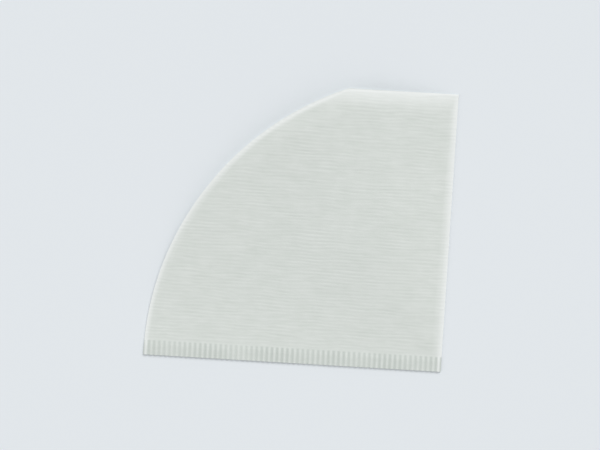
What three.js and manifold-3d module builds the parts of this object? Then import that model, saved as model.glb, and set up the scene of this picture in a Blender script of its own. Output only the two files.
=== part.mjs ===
// Cone paper coffee filter, folded flat and lying on one of its two plies.
// Millimetres, +Z up. The origin is the centre of the bounding box, at its bottom.
//
// The filter is one sheet, folded once and joined along one crimped seam. Seen from above it is a
// quarter disc: the seam runs along X from the corner, the fold runs along Y from the same corner,
// the arc is the mouth, and a straight cut takes off the end of the arc beside the fold.

import * as THREE from "three";
import { mergeVertices } from "three/addons/utils/BufferGeometryUtils.js";
import Module from "manifold-3d";

const wasm = await Module();
wasm.setup();

// Outline
const slantLength = 116; // from the corner to the arc, which is the cone's slant height
const cutDepth = 8; // how far the straight cut shortens the sheet along the fold

// Paper
const paper = 0.25; // thickness of one ply

// Pocket between the plies
const gape = 7; // how far the plies stand apart at the widest place of the mouth
const gapeSkew = 1.6; // above 1 the widest place lies nearer to the fold than to the seam

// Crimped seam
const seamWidth = 6;
const crimpPitch = 2;
const crimpDepth = 0.35; // from the hollow of a rib to its ridge
const stepsPerRib = 6;

// Smoothness
const arcSteps = 48;
const pocketSteps = 48;
const foldSides = 16;

// Parts that are joined run into each other by this much, and cutters reach past what they cut.
const overlap = 0.4;
const reach = 20;

// Corners nearer to each other than this are one corner.
const weldDistance = 1e-5;

const quarterTurn = Math.PI / 2;
const twoPlies = 2 * paper;
const foldLength = slantLength - cutDepth; // from the seam's edge to the straight cut

/** Turns a closed three.js geometry into a solid that can be joined and cut. */
function solid(geometry) {
  const bare = geometry.index ? geometry.toNonIndexed() : geometry.clone();
  for (const name of Object.keys(bare.attributes)) {
    if (name !== "position") bare.deleteAttribute(name);
  }
  const merged = mergeVertices(bare, weldDistance);
  const mesh = new wasm.Mesh({
    numProp: 3,
    vertProperties: new Float32Array(merged.attributes.position.array),
    triVerts: new Uint32Array(merged.index.array),
  });
  return new wasm.Manifold(mesh);
}

/** Turns a solid back into a three.js geometry. */
function geometryOf(body) {
  const mesh = body.getMesh();
  const geometry = new THREE.BufferGeometry();
  geometry.setAttribute("position", new THREE.BufferAttribute(mesh.vertProperties, 3));
  geometry.setIndex(new THREE.BufferAttribute(mesh.triVerts, 1));
  geometry.computeVertexNormals();
  return geometry;
}

/** The filter's outline, with the corner at zero, the seam along -X and the fold along +Y. */
function outline() {
  const arcEnd = Math.acos(foldLength / slantLength);
  const shape = new THREE.Shape();
  shape.moveTo(0, 0);
  shape.lineTo(0, foldLength);
  shape.lineTo(-slantLength * Math.sin(arcEnd), foldLength);
  shape.absarc(0, 0, slantLength, quarterTurn + arcEnd, Math.PI, false);
  shape.closePath();
  return shape;
}

/** A tall column with the filter's outline, which trims what runs past it. */
function outlineColumn() {
  const geometry = new THREE.ExtrudeGeometry(outline(), {
    depth: gape + 2 * reach,
    bevelEnabled: false,
    curveSegments: arcSteps,
  });
  geometry.translate(0, 0, -reach);
  return solid(geometry);
}

/** Both plies, flat on each other, from the seam to the fold. */
function flatPlies() {
  const side = slantLength + reach;
  const geometry = new THREE.BoxGeometry(side, side, twoPlies);
  geometry.translate(-paper - side / 2, seamWidth + side / 2, paper);
  return solid(geometry);
}

/** Height of the pocket per millimetre from its corner, where 0 is the seam and 1 is the fold. */
function rise(across) {
  return (gape / slantLength) * Math.sin(Math.PI * across ** gapeSkew);
}

/**
 * A wedge that spreads from the pocket's corner, between the seam and the fold.
 * Its floor is flat at `floor` and its roof is a cone, which lies `side` above the floor at the
 * seam and the fold and bulges up between them.
 */
function coneWedge(floor, side) {
  const corner = new THREE.Vector2(-paper, seamWidth);
  const length = slantLength + reach;
  const ring = [];
  for (let step = 0; step <= pocketSteps; step += 1) {
    const across = step / pocketSteps;
    const turn = Math.PI - across * quarterTurn;
    const x = corner.x + length * Math.cos(turn);
    const y = corner.y + length * Math.sin(turn);
    ring.push({ low: [x, y, floor], high: [x, y, floor + side + length * rise(across)] });
  }
  const cornerLow = [corner.x, corner.y, floor];
  const cornerHigh = [corner.x, corner.y, floor + side];

  const points = [];
  const addFace = (...face) => points.push(...face.flat());
  for (let step = 0; step < pocketSteps; step += 1) {
    const here = ring[step];
    const next = ring[step + 1];
    addFace(cornerLow, here.low, next.low);
    addFace(cornerHigh, next.high, here.high);
    addFace(here.low, here.high, next.high);
    addFace(here.low, next.high, next.low);
  }
  if (side > 0) {
    const atSeam = ring[0];
    const atFold = ring[pocketSteps];
    addFace(cornerLow, atSeam.high, atSeam.low);
    addFace(cornerLow, cornerHigh, atSeam.high);
    addFace(cornerLow, atFold.low, atFold.high);
    addFace(cornerLow, atFold.high, cornerHigh);
  }
  const geometry = new THREE.BufferGeometry();
  geometry.setAttribute("position", new THREE.Float32BufferAttribute(points, 3));
  return solid(geometry);
}

/** The seam: both plies pressed together and crimped into ribs that run across the strip. */
function crimpedStrip() {
  const ribs = Math.ceil(slantLength / crimpPitch);
  const steps = ribs * stepsPerRib;
  const lower = [];
  for (let step = 0; step <= steps; step += 1) {
    const phase = (2 * Math.PI * step) / stepsPerRib;
    const x = -paper - (step * crimpPitch) / stepsPerRib;
    lower.push(new THREE.Vector2(x, (crimpDepth * (1 - Math.cos(phase))) / 2));
  }
  const upper = lower.map((point) => new THREE.Vector2(point.x, point.y + twoPlies)).reverse();
  const geometry = new THREE.ExtrudeGeometry(new THREE.Shape([...lower, ...upper]), {
    depth: seamWidth + overlap,
    bevelEnabled: false,
  });
  geometry.rotateX(quarterTurn);
  geometry.translate(0, seamWidth + overlap, 0);
  return solid(geometry);
}

/** The folded edge: the sheet's outer face turns round it in a half circle. */
function foldedEdge() {
  const geometry = new THREE.CylinderGeometry(paper, paper, foldLength, foldSides);
  geometry.translate(-paper, foldLength / 2, paper);
  return solid(geometry);
}

/** The whole sheet, folded and seamed. */
function foldedSheet() {
  const trim = outlineColumn();
  const upperPly = coneWedge(paper, paper);
  const hollow = coneWedge(paper, 0);
  const plies = flatPlies().add(upperPly).intersect(trim).subtract(hollow);
  const strip = crimpedStrip().intersect(trim);
  return plies.add(strip).add(foldedEdge());
}

const whitePaper = new THREE.MeshStandardMaterial({
  color: 0xe9edea,
  roughness: 0.92,
  metalness: 0,
});

const filter = new THREE.Mesh(geometryOf(foldedSheet()), whitePaper);
filter.name = "paper_filter";
filter.position.set(slantLength / 2, -foldLength / 2, 0);

const part = new THREE.Group();
part.add(filter);

export default part;
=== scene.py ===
"""Looks of a cone paper coffee filter that lies folded flat, seen from above in a pale studio.

The filter is one sheet of creped paper, folded once, with its two plies crimped together along a seam.
"""

import logging
import math
from dataclasses import dataclass, field
from enum import Enum

import bmesh
import bpy
from mathutils import Matrix, Vector, noise


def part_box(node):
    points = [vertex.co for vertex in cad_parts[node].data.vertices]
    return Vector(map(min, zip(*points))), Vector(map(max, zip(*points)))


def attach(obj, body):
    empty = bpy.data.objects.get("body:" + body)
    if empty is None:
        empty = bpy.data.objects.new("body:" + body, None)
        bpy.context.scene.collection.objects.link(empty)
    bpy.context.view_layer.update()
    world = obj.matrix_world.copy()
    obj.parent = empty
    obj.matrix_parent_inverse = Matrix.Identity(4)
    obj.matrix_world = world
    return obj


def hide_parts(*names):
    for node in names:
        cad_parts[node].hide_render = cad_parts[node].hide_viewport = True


LOG = logging.getLogger("filter")
MM = 0.001
NODE = "paper_filter"
BODY = "root"
# Attribute that holds the painted highlight along the fold, the rim and the straight cut.
PAINTED_HIGHLIGHT_MARK = "pale"
# Attribute that holds the painted shade in the crimp's grooves.
GROOVE_SHADE_MARK = "groove_shade"

Colour = tuple[int, int, int]
Row = list[bmesh.types.BMVert]

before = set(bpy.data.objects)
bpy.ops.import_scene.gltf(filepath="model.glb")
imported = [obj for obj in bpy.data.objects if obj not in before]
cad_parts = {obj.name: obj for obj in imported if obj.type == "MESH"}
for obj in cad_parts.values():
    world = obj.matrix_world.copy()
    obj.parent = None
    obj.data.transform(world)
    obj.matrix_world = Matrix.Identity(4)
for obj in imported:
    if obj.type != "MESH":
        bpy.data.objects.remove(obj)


def linear(red: int, green: int, blue: int) -> tuple[float, float, float, float]:
    """Turns a colour as a screen shows it into the linear values that shaders take.

    Args:
        red: Red from 0 to 255.
        green: Green from 0 to 255.
        blue: Blue from 0 to 255.

    Returns:
        The linear colour with an alpha of 1.
    """
    values = []
    for value in (red, green, blue):
        share = value / 255
        values.append(share / 12.92 if share <= 0.04045 else ((share + 0.055) / 1.055) ** 2.4)
    return (values[0], values[1], values[2], 1.0)


def smooth(share: float) -> float:
    """Eases a share from 0 to 1, and holds it there outside that range."""
    held = min(max(share, 0.0), 1.0)
    return held * held * (3 - 2 * held)


class Ply(Enum):
    """The two halves of the folded sheet."""

    LOWER = 0
    UPPER = 1


class Layer(Enum):
    """The slices of the noise, one for each unevenness, so that none repeats another."""

    CREPE_COURSE = 3.1
    CREPE_STRENGTH = 8.4
    LOOSE_CREPE = 5.7
    COCKLE = 1.7
    RIM_WAVE = 6.3
    PRESSING = 4.2


def grain(x: float, y: float, layer: Layer) -> float:
    """Reads smooth noise between about -1 and 1.

    Args:
        x: Place along the seam, as a share of the pattern's size.
        y: Place along the fold, as a share of the pattern's size.
        layer: The slice that it is read from.

    Returns:
        The noise at that place.
    """
    return noise.noise(Vector((x, y, layer.value)))


@dataclass(frozen=True)
class SheetSizes:
    """The folded sheet's sizes, in metres, with its corner where the seam meets the fold."""

    slant_length: float
    fold_length: float
    height: float
    thickness: float = 0.25 * MM
    clearance: float = 0.02 * MM
    seam_width: float = 6 * MM
    crimp_pitch: float = 2 * MM
    crimp_depth: float = 0.35 * MM
    crimp_fade: float = 2.6 * MM
    gape_skew: float = 1.6

    @property
    def bend_radius(self) -> float:
        """Radius of the sheet's middle where it turns round the fold."""
        return (self.thickness + self.clearance) / 2

    @property
    def gape(self) -> float:
        """How far the plies would stand apart one slant length from the pocket's corner.

        Returns:
            The height in metres, found from the filter's height at the widest place of the rim.
        """
        widest_turn = 0.5 ** (1 / self.gape_skew) * math.pi / 2
        reach = self.reach_of_pocket(widest_turn)
        return (self.height - 2 * self.thickness) * self.slant_length / reach

    def reach_of_pocket(self, turn: float) -> float:
        """Distance from the pocket's corner to the arc.

        Args:
            turn: Direction as an angle from the seam, in radians.

        Returns:
            The distance in metres.
        """
        along = self.seam_width * math.sin(turn)
        inside = self.seam_width**2 - self.slant_length**2
        return -along + math.sqrt(along**2 - inside)

    def row_length(self, y: float) -> float:
        """Length of the sheet from the fold to the arc, at a height over the seam's edge."""
        return math.sqrt(self.slant_length**2 - y**2)

    def gap(self, x: float, y: float) -> float:
        """Height of the pocket between the plies.

        Args:
            x: Distance from the fold, along the seam.
            y: Distance from the seam's edge, along the fold.

        Returns:
            The height in metres, which is nothing at the seam and at the fold.
        """
        rise = y - self.seam_width
        if rise <= 0 or x <= 0:
            return 0.0
        across = math.atan2(rise, x) / (math.pi / 2)
        slope = self.gape / self.slant_length
        return math.hypot(x, rise) * slope * math.sin(math.pi * across**self.gape_skew)

    def drawn_in(self, x: float, y: float, gap: float) -> tuple[float, float]:
        """Draws a raised point towards the pocket's corner, so that the sheet keeps its length.

        Args:
            x: Distance from the fold, along the seam, in the flat sheet.
            y: Distance from the seam's edge, along the fold, in the flat sheet.
            gap: How far the point is raised.

        Returns:
            Where the point lies, seen from above.
        """
        if gap <= 0:
            return x, y
        length = math.hypot(x, y - self.seam_width)
        share = math.sqrt(1 - (gap / length) ** 2)
        return x * share, self.seam_width + (y - self.seam_width) * share

    def inside_rim(self, x: float, y: float) -> float:
        """Distance from the rim, which is the arc and the straight cut, to a point inside it."""
        return min(self.slant_length - math.hypot(x, y), self.fold_length - y)


@dataclass(frozen=True)
class Relief:
    """The small unevenness of creped paper, in metres."""

    crepe_pitch: float = 1.35 * MM
    crepe_length: float = 11 * MM
    crepe_depth: float = 0.06 * MM
    crepe_patch: float = 2.5 * MM
    crepe_wander: float = 0.6
    wander_pitches: float = 6
    crepe_strength: float = 0.6
    strength_spread: float = 0.8
    line_share: float = 0.6
    loose_share: float = 0.45
    loose_along: float = 2.2
    loose_across: float = 1.3
    cockle_size: float = 26 * MM
    cockle_depth: float = 0.22 * MM
    rim_wave_size: float = 38 * MM
    rim_wave_depth: float = 0.5 * MM
    curl_width: float = 9 * MM
    curl_depth: float = 0.7 * MM

    def crepe(self, x: float, y: float) -> float:
        """Height of the fine wrinkles, which run along the seam.

        Args:
            x: Distance from the fold, along the seam.
            y: Distance from the seam's edge, along the fold.

        Returns:
            The height in metres, of even wrinkles that wander and loose ones between them.
        """
        along = x / self.crepe_length
        wander = grain(along, y / (self.wander_pitches * self.crepe_pitch), Layer.CREPE_COURSE)
        line = math.sin(2 * math.pi * (y / self.crepe_pitch + self.crepe_wander * wander))
        patch = grain(along, y / self.crepe_patch, Layer.CREPE_STRENGTH)
        strength = self.crepe_strength + self.strength_spread * patch
        loose_x = self.loose_along * x / self.crepe_length
        loose_y = self.loose_across * y / self.crepe_pitch
        loose = grain(loose_x, loose_y, Layer.LOOSE_CREPE)
        return self.crepe_depth * (self.line_share * line * strength + self.loose_share * loose)

    def cockle(self, x: float, y: float) -> float:
        """Height of the broad, shallow unevenness of the whole sheet."""
        return self.cockle_depth * grain(x / self.cockle_size, y / self.cockle_size, Layer.COCKLE)

    def rim_wave(self, x: float, y: float) -> float:
        """Height of the slow wave that the free rim of the upper ply takes."""
        slow = grain(x / self.rim_wave_size, y / self.rim_wave_size, Layer.RIM_WAVE)
        return self.rim_wave_depth * slow

    def curl(self, inside: float) -> float:
        """How far the free rim curls down, at a distance inside the rim."""
        share = max(0.0, 1 - inside / self.curl_width)
        return self.curl_depth * share**2


@dataclass(frozen=True)
class GrooveShading:
    """How strongly painted shade darkens the crimp's grooves, where 1 is its full darkening."""

    strength: float = 0.85
    spread: float = 0.5
    patch: float = 14 * MM
    edge: float = 0.6 * MM

    def at(self, x: float, y: float, sizes: SheetSizes) -> float:
        """Finds the painted shade at a point, which is strongest in the grooves between the ribs.

        Args:
            x: Distance from the fold, along the seam.
            y: Distance from the seam's edge, along the fold.
            sizes: The sheet's sizes.

        Returns:
            The strength, which is nothing beyond the strip.
        """
        groove = (1 + math.cos(2 * math.pi * x / sizes.crimp_pitch)) / 2
        uneven = self.strength + self.spread * grain(x / self.patch, y / self.patch, Layer.PRESSING)
        return groove * uneven * smooth((sizes.seam_width - y) / self.edge)


@dataclass(frozen=True)
class PaintedEdgeHighlight:
    """How much paler a painted highlight makes the paper at an edge, and how far in that reaches."""

    strength: float
    width: float

    def at(self, inside: float) -> float:
        """Finds the painted highlight at a distance inside the edge."""
        return self.strength * (1 - smooth(inside / self.width))


@dataclass(frozen=True)
class NoisePattern:
    """The settings of one noise texture."""

    scale: float
    detail: float
    roughness: float

    def add(self, tree: bpy.types.NodeTree, place: bpy.types.NodeSocket) -> bpy.types.NodeSocket:
        """Adds the texture.

        Args:
            tree: The node tree that takes it.
            place: The socket that gives its coordinates.

        Returns:
            The socket that gives its value.
        """
        texture = tree.nodes.new("ShaderNodeTexNoise")
        texture.inputs["Scale"].default_value = self.scale
        texture.inputs["Detail"].default_value = self.detail
        texture.inputs["Roughness"].default_value = self.roughness
        tree.links.new(place, texture.inputs["Vector"])
        return texture.outputs["Fac"]


@dataclass(frozen=True)
class Bump:
    """The settings of one bump, with its depth in metres."""

    strength: float
    depth: float

    def add(self, tree: bpy.types.NodeTree, height: bpy.types.NodeSocket) -> bpy.types.Node:
        """Adds the bump.

        Args:
            tree: The node tree that takes it.
            height: The socket that gives its height.

        Returns:
            The bump's node.
        """
        bump = tree.nodes.new("ShaderNodeBump")
        bump.inputs["Strength"].default_value = self.strength
        bump.inputs["Distance"].default_value = self.depth
        tree.links.new(height, bump.inputs["Height"])
        return bump


@dataclass(frozen=True)
class CrepedPaper:
    """White, uncoated, finely creped filter paper."""

    name: str = "creped_paper"
    # Two tones: through the crepe's share the dark one is painted shade in the wrinkles' hollows;
    # through the cloud's share both are the paper's own uneven tone.
    light: Colour = (222, 227, 223)
    dark: Colour = (214, 220, 215)
    # Painted shade in the crimp's grooves.
    groove_shade: Colour = (200, 207, 202)
    # Painted highlight along the fold, the rim and the straight cut.
    pale: Colour = (243, 246, 245)
    dark_until: float = 0.32
    light_from: float = 0.64
    roughness: float = 0.93
    specular: float = 0.25
    sheen: float = 0.12
    sheen_roughness: float = 0.6
    crepe_stretch: tuple[float, float, float] = (130.0, 760.0, 130.0)
    crepe: NoisePattern = NoisePattern(1.0, 3.0, 0.55)
    cloud: NoisePattern = NoisePattern(170.0, 5.0, 0.6)
    fibre: NoisePattern = NoisePattern(5200.0, 4.0, 0.65)
    crepe_share: float = 0.55
    cloud_share: float = 0.45
    crepe_bump: Bump = Bump(0.55, 0.12 * MM)
    fibre_bump: Bump = Bump(0.5, 0.03 * MM)

    def tint(
        self, tree: bpy.types.NodeTree, crepe: bpy.types.NodeSocket, cloud: bpy.types.NodeSocket
    ) -> bpy.types.NodeSocket:
        """Mixes the paper's two tones: the crepe's share is painted shade that darkens the wrinkles'
        hollows, and the cloudy share is the paper's own uneven tone.

        Args:
            tree: The node tree that takes the nodes.
            crepe: The socket that gives the wrinkles.
            cloud: The socket that gives the cloudy texture.

        Returns:
            The socket that gives the colour.
        """
        part = tree.nodes.new("ShaderNodeMath")
        part.operation = "MULTIPLY"
        part.inputs[1].default_value = self.cloud_share
        tree.links.new(cloud, part.inputs[0])
        shade = tree.nodes.new("ShaderNodeMath")
        shade.operation = "MULTIPLY_ADD"
        shade.inputs[1].default_value = self.crepe_share
        tree.links.new(crepe, shade.inputs[0])
        tree.links.new(part.outputs["Value"], shade.inputs[2])
        ramp = tree.nodes.new("ShaderNodeValToRGB")
        dark, light = ramp.color_ramp.elements
        dark.position = self.dark_until
        dark.color = linear(*self.dark)
        light.position = self.light_from
        light.color = linear(*self.light)
        tree.links.new(shade.outputs["Value"], ramp.inputs["Fac"])
        return ramp.outputs["Color"]

    def marked(
        self, tree: bpy.types.NodeTree, colour: bpy.types.NodeSocket, mark: str, finish: Colour
    ) -> bpy.types.NodeSocket:
        """Blends another colour in where the mesh is marked.

        Args:
            tree: The node tree that takes the nodes.
            colour: The socket that gives the colour so far.
            mark: Name of the attribute that says how strongly.
            finish: The colour that is blended in.

        Returns:
            The socket that gives the new colour.
        """
        strength = tree.nodes.new("ShaderNodeAttribute")
        strength.attribute_name = mark
        blend = tree.nodes.new("ShaderNodeMixRGB")
        blend.inputs["Color2"].default_value = linear(*finish)
        tree.links.new(strength.outputs["Fac"], blend.inputs["Fac"])
        tree.links.new(colour, blend.inputs["Color1"])
        return blend.outputs["Color"]

    def material(self) -> bpy.types.Material:
        """Builds the material.

        Returns:
            A node material whose patterns read Object coordinates.
        """
        material = bpy.data.materials.new(self.name)
        material.use_nodes = True
        tree = material.node_tree
        shader = tree.nodes["Principled BSDF"]
        shader.inputs["Roughness"].default_value = self.roughness
        shader.inputs["Specular IOR Level"].default_value = self.specular
        shader.inputs["Sheen Weight"].default_value = self.sheen
        shader.inputs["Sheen Roughness"].default_value = self.sheen_roughness

        place = tree.nodes.new("ShaderNodeTexCoord").outputs["Object"]
        stretch = tree.nodes.new("ShaderNodeMapping")
        stretch.inputs["Scale"].default_value = self.crepe_stretch
        tree.links.new(place, stretch.inputs["Vector"])
        crepe = self.crepe.add(tree, stretch.outputs["Vector"])
        cloud = self.cloud.add(tree, place)
        fibre = self.fibre.add(tree, place)

        # Painted shade in the crepe's hollows, mixed with the paper's own cloudy tone.
        colour = self.tint(tree, crepe, cloud)
        # Painted highlight along the fold, the rim and the straight cut.
        colour = self.marked(tree, colour, PAINTED_HIGHLIGHT_MARK, self.pale)
        # Painted shade in the crimp's grooves.
        colour = self.marked(tree, colour, GROOVE_SHADE_MARK, self.groove_shade)
        tree.links.new(colour, shader.inputs["Base Color"])

        wrinkles = self.crepe_bump.add(tree, crepe)
        fibres = self.fibre_bump.add(tree, fibre)
        tree.links.new(wrinkles.outputs["Normal"], fibres.inputs["Normal"])
        tree.links.new(fibres.outputs["Normal"], shader.inputs["Normal"])
        return material


@dataclass(frozen=True)
class PaleFloor:
    """The plain, pale surface that the filter lies on."""

    name: str = "pale_floor"
    colour: Colour = (232, 237, 241)
    roughness: float = 0.7
    specular: float = 0.1

    def material(self) -> bpy.types.Material:
        """Builds the material.

        Returns:
            A node material of one even colour.
        """
        material = bpy.data.materials.new(self.name)
        material.use_nodes = True
        shader = material.node_tree.nodes["Principled BSDF"]
        shader.inputs["Base Color"].default_value = linear(*self.colour)
        shader.inputs["Roughness"].default_value = self.roughness
        shader.inputs["Specular IOR Level"].default_value = self.specular
        return material


@dataclass
class FoldedFilter:
    """The filter: a sheet that runs from its lower rim, round the fold, to its upper rim."""

    sizes: SheetSizes
    corner: Vector
    relief: Relief = field(default_factory=Relief)
    finish: CrepedPaper = field(default_factory=CrepedPaper)
    # Painted shade in the crimp's grooves.
    groove_shading: GrooveShading = field(default_factory=GrooveShading)
    # Painted highlights along the fold, the rim and the straight cut.
    fold_highlight: PaintedEdgeHighlight = PaintedEdgeHighlight(0.85, 3.2 * MM)
    rim_highlight: PaintedEdgeHighlight = PaintedEdgeHighlight(0.9, 2.4 * MM)
    cut_highlight: PaintedEdgeHighlight = PaintedEdgeHighlight(0.6, 8 * MM)
    name: str = "folded_sheet"
    coarse_columns: int = 58
    fine_steps: int = 8
    fold_steps: int = 6
    strip_rows: int = 10
    face_rows: int = 310
    free_share: float = 0.4
    smooth_angle: float = math.radians(40)

    def ply_point(self, ply: Ply, x: float, y: float) -> Vector:
        """Finds a point of the sheet's middle.

        The upper ply grows uneven as it comes free of the lower one, and is wholly free where the
        pocket is `free_share` of the filter's height.

        Args:
            ply: Which half of the folded sheet.
            x: Distance from the fold, along the seam.
            y: Distance from the seam's edge, along the fold.

        Returns:
            The point, with the corner at zero, the seam along -X and the fold along +Y.
        """
        sizes = self.sizes
        z = sizes.thickness / 2 + self.relief.crepe(x, y) + self.crimp(x, y)
        if ply is Ply.UPPER:
            gap = sizes.gap(x, y)
            freedom = min(gap / (self.free_share * sizes.height), 1.0)
            z += 2 * sizes.bend_radius + gap
            unevenness = self.relief.cockle(x, y) + self.relief.rim_wave(x, y)
            z += freedom * (unevenness - self.relief.curl(sizes.inside_rim(x, y)))
            x, y = sizes.drawn_in(x, y, gap)
        return Vector((-x, y, z))

    def crimp(self, x: float, y: float) -> float:
        """Height of the crimp's ribs, which fade out at the strip's inner edge.

        Args:
            x: Distance from the fold, along the seam.
            y: Distance from the seam's edge, along the fold.

        Returns:
            The height in metres.
        """
        sizes = self.sizes
        inside = sizes.seam_width - y
        wave = (1 - math.cos(2 * math.pi * x / sizes.crimp_pitch)) / 2
        return sizes.crimp_depth * smooth(inside / sizes.crimp_fade) * wave

    def pale(self, x: float, y: float) -> float:
        """How much paler a painted highlight makes the paper along its fold, its rim and its straight
        cut.

        Args:
            x: Distance from the fold, along the seam.
            y: Distance from the seam's edge, along the fold.

        Returns:
            The painted highlight's strength, from 0 to 1.
        """
        at_fold = self.fold_highlight.at(x)
        at_rim = self.rim_highlight.at(self.sizes.inside_rim(x, y))
        at_cut = self.cut_highlight.at(self.sizes.fold_length - y)
        return max(at_fold, at_rim, at_cut)

    def mark(self, sheet: bpy.types.Object) -> None:
        """Writes on the mesh the painted shade in the crimp's grooves and the painted highlight that
        makes the fold, the rim and the straight cut paler.

        Args:
            sheet: The finished sheet, which takes one attribute for each mark.
        """
        corner = self.corner
        points = [(corner.x - point.co.x, point.co.y - corner.y) for point in sheet.data.vertices]
        marks = {
            # Painted shade in the crimp's grooves.
            GROOVE_SHADE_MARK: [self.groove_shading.at(x, y, self.sizes) for x, y in points],
            # Painted highlight along the fold, the rim and the straight cut.
            PAINTED_HIGHLIGHT_MARK: [self.pale(x, y) for x, y in points],
        }
        for name, values in marks.items():
            attribute = sheet.data.attributes.new(name, "FLOAT", "POINT")
            attribute.data.foreach_set("value", values)

    def row(self, mesh: bmesh.types.BMesh, y: float, columns: int) -> Row:
        """Adds one row of vertices, from the lower rim, round the fold, to the upper rim.

        Args:
            mesh: The mesh that takes the vertices.
            y: The row's distance from the seam's edge.
            columns: Number of steps from the fold to the rim.

        Returns:
            The row's vertices in order.
        """
        sizes = self.sizes
        radius = sizes.bend_radius
        flat = sizes.row_length(y) - radius
        steps = [radius + flat * column / columns for column in range(columns + 1)]
        lower = [self.ply_point(Ply.LOWER, x, y) for x in reversed(steps)]
        upper = [self.ply_point(Ply.UPPER, x, y) for x in steps]
        middle = (lower[-1] + upper[0]) / 2
        bend = []
        for step in range(1, self.fold_steps):
            turn = math.pi * step / self.fold_steps
            bend.append(middle + Vector((radius * math.sin(turn), 0, -radius * math.cos(turn))))
        return [mesh.verts.new(self.corner + point) for point in (*lower, *bend, *upper)]

    def bridge(self, mesh: bmesh.types.BMesh, low: Row, high: Row) -> None:
        """Joins two rows with faces. The lower row may have fine steps where the upper has coarse ones.

        Args:
            mesh: The mesh that takes the faces.
            low: The row nearer to the seam.
            high: The next row.
        """
        fine_steps = 1 if len(low) == len(high) else self.fine_steps
        fold = range(self.coarse_columns, self.coarse_columns + self.fold_steps)
        place = 0
        for index in range(len(high) - 1):
            step = 1 if index in fold else fine_steps
            edge = low[place : place + step + 1]
            mesh.faces.new((*edge, high[index + 1], high[index]))
            place += step

    def middle(self) -> bpy.types.Object:
        """Builds the sheet's middle, with fine columns in the strip and coarse ones above it.

        Returns:
            The sheet without its thickness.
        """
        sizes = self.sizes
        strip = [sizes.seam_width * row / self.strip_rows for row in range(self.strip_rows + 1)]
        rest = sizes.fold_length - sizes.seam_width
        face = [sizes.seam_width + rest * row / self.face_rows for row in range(1, self.face_rows + 1)]
        mesh = bmesh.new()
        rows = [self.row(mesh, y, self.coarse_columns * self.fine_steps) for y in strip]
        rows += [self.row(mesh, y, self.coarse_columns) for y in face]
        for low, high in zip(rows, rows[1:]):
            self.bridge(mesh, low, high)
        bmesh.ops.recalc_face_normals(mesh, faces=mesh.faces)
        data = bpy.data.meshes.new(self.name)
        mesh.to_mesh(data)
        mesh.free()
        sheet = bpy.data.objects.new(self.name, data)
        bpy.context.scene.collection.objects.link(sheet)
        return sheet

    def thicken(self, sheet: bpy.types.Object) -> None:
        """Gives the sheet its thickness and rests it on the floor.

        Args:
            sheet: The sheet's middle, which becomes the whole sheet.
        """
        bpy.ops.object.select_all(action="DESELECT")
        bpy.context.view_layer.objects.active = sheet
        sheet.select_set(True)
        solidify = sheet.modifiers.new("thickness", "SOLIDIFY")
        solidify.thickness = self.sizes.thickness
        solidify.offset = 0.0
        solidify.use_rim = True
        bpy.ops.object.modifier_apply(modifier=solidify.name)
        bpy.ops.object.shade_smooth_by_angle(angle=self.smooth_angle)
        lowest = min(vertex.co.z for vertex in sheet.data.vertices)
        sheet.data.transform(Matrix.Translation((0, 0, -lowest)))

    def build(self) -> bpy.types.Object:
        """Returns:
            The finished piece.
        """
        sheet = self.middle()
        self.thicken(sheet)
        self.mark(sheet)
        sheet.data.materials.append(self.finish.material())
        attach(sheet, BODY)
        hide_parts(NODE)
        LOG.info("%s has %d faces", sheet.name, len(sheet.data.polygons))
        return sheet


@dataclass(frozen=True)
class SoftLight:
    """A soft, even light from one side, with its strength in watts for each square metre."""

    name: str
    side: tuple[float, float, float]
    softness: float
    strength: float

    def add(self, target: Vector) -> None:
        """Adds the light.

        Args:
            target: The point that it is turned to.
        """
        side = Vector(self.side)
        data = bpy.data.lights.new(self.name, "SUN")
        data.angle = self.softness
        data.energy = self.strength
        light = bpy.data.objects.new(self.name, data)
        light.location = target + side
        light.rotation_mode = "QUATERNION"
        light.rotation_quaternion = (-side).to_track_quat("-Z", "Y")
        bpy.context.scene.collection.objects.link(light)


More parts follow.
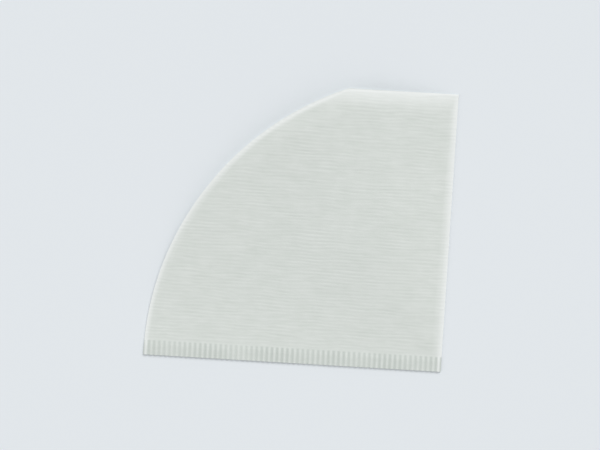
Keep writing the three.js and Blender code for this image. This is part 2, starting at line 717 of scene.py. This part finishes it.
@dataclass
class Studio:
    """Floor, lights and camera."""

    target: Vector
    floor: PaleFloor = field(default_factory=PaleFloor)
    floor_size: float = 6.0
    floor_drop: float = 0.02 * MM
    key: SoftLight = SoftLight("key", (0.45, 0.95, 0.95), math.radians(32), 1.65)
    fill: SoftLight = SoftLight("fill", (-0.9, -0.2, 0.6), math.radians(45), 0.5)
    world_strength: float = 0.5
    background: Colour = (232, 237, 241)
    lens: float = 130.0
    camera_distance: float = 0.84
    camera_tilt: float = math.radians(5)
    camera_roll: float = math.radians(3.4)
    nearest_seen: float = 0.01
    farthest_seen: float = 20.0

    def add_floor(self) -> None:
        """Adds the floor, a hair below the filter."""
        bpy.ops.object.select_all(action="DESELECT")
        bpy.ops.mesh.primitive_plane_add(size=self.floor_size, location=(0, 0, -self.floor_drop))
        floor = bpy.context.object
        floor.name = "floor"
        floor.data.materials.append(self.floor.material())

    def add_world(self) -> None:
        """Adds an even, pale surrounding, which the camera sees as the background."""
        world = bpy.data.worlds.new("studio")
        bpy.context.scene.world = world
        world.use_nodes = True
        nodes = world.node_tree.nodes
        links = world.node_tree.links
        fill = nodes["Background"]
        fill.inputs["Color"].default_value = (1, 1, 1, 1)
        fill.inputs["Strength"].default_value = self.world_strength
        seen = nodes.new("ShaderNodeBackground")
        seen.inputs["Color"].default_value = linear(*self.background)
        ray = nodes.new("ShaderNodeLightPath")
        mix = nodes.new("ShaderNodeMixShader")
        links.new(ray.outputs["Is Camera Ray"], mix.inputs["Fac"])
        links.new(fill.outputs["Background"], mix.inputs[1])
        links.new(seen.outputs["Background"], mix.inputs[2])
        links.new(mix.outputs["Shader"], nodes["World Output"].inputs["Surface"])

    def add_camera(self) -> None:
        """Adds the camera, which looks down on the filter."""
        data = bpy.data.cameras.new("camera")
        data.lens = self.lens
        data.clip_start = self.nearest_seen
        data.clip_end = self.farthest_seen
        camera = bpy.data.objects.new("camera", data)
        back = Vector((0, math.sin(self.camera_tilt), math.cos(self.camera_tilt)))
        place = Matrix.Translation(self.target + back * self.camera_distance)
        look = Matrix.Rotation(-self.camera_tilt, 4, "X")
        roll = Matrix.Rotation(self.camera_roll, 4, "Z")
        camera.matrix_world = place @ look @ roll
        bpy.context.scene.collection.objects.link(camera)
        bpy.context.scene.camera = camera

    def build(self) -> None:
        """Builds the whole studio."""
        self.add_floor()
        self.add_world()
        self.key.add(self.target)
        self.fill.add(self.target)
        self.add_camera()
        bpy.context.scene.view_settings.view_transform = "Standard"


def main() -> None:
    """Builds the filter and its studio."""
    logging.basicConfig(level=logging.INFO, format="%(message)s")
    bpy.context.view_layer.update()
    low, high = (Vector(corner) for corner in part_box(NODE))
    sizes = SheetSizes(
        slant_length=high.x - low.x,
        fold_length=high.y - low.y,
        height=high.z - low.z,
    )
    FoldedFilter(sizes, corner=Vector((high.x, low.y, 0))).build()
    centre = (low + high) / 2
    Studio(target=Vector((centre.x, centre.y, 0))).build()


if __name__ == "__main__":
    main()
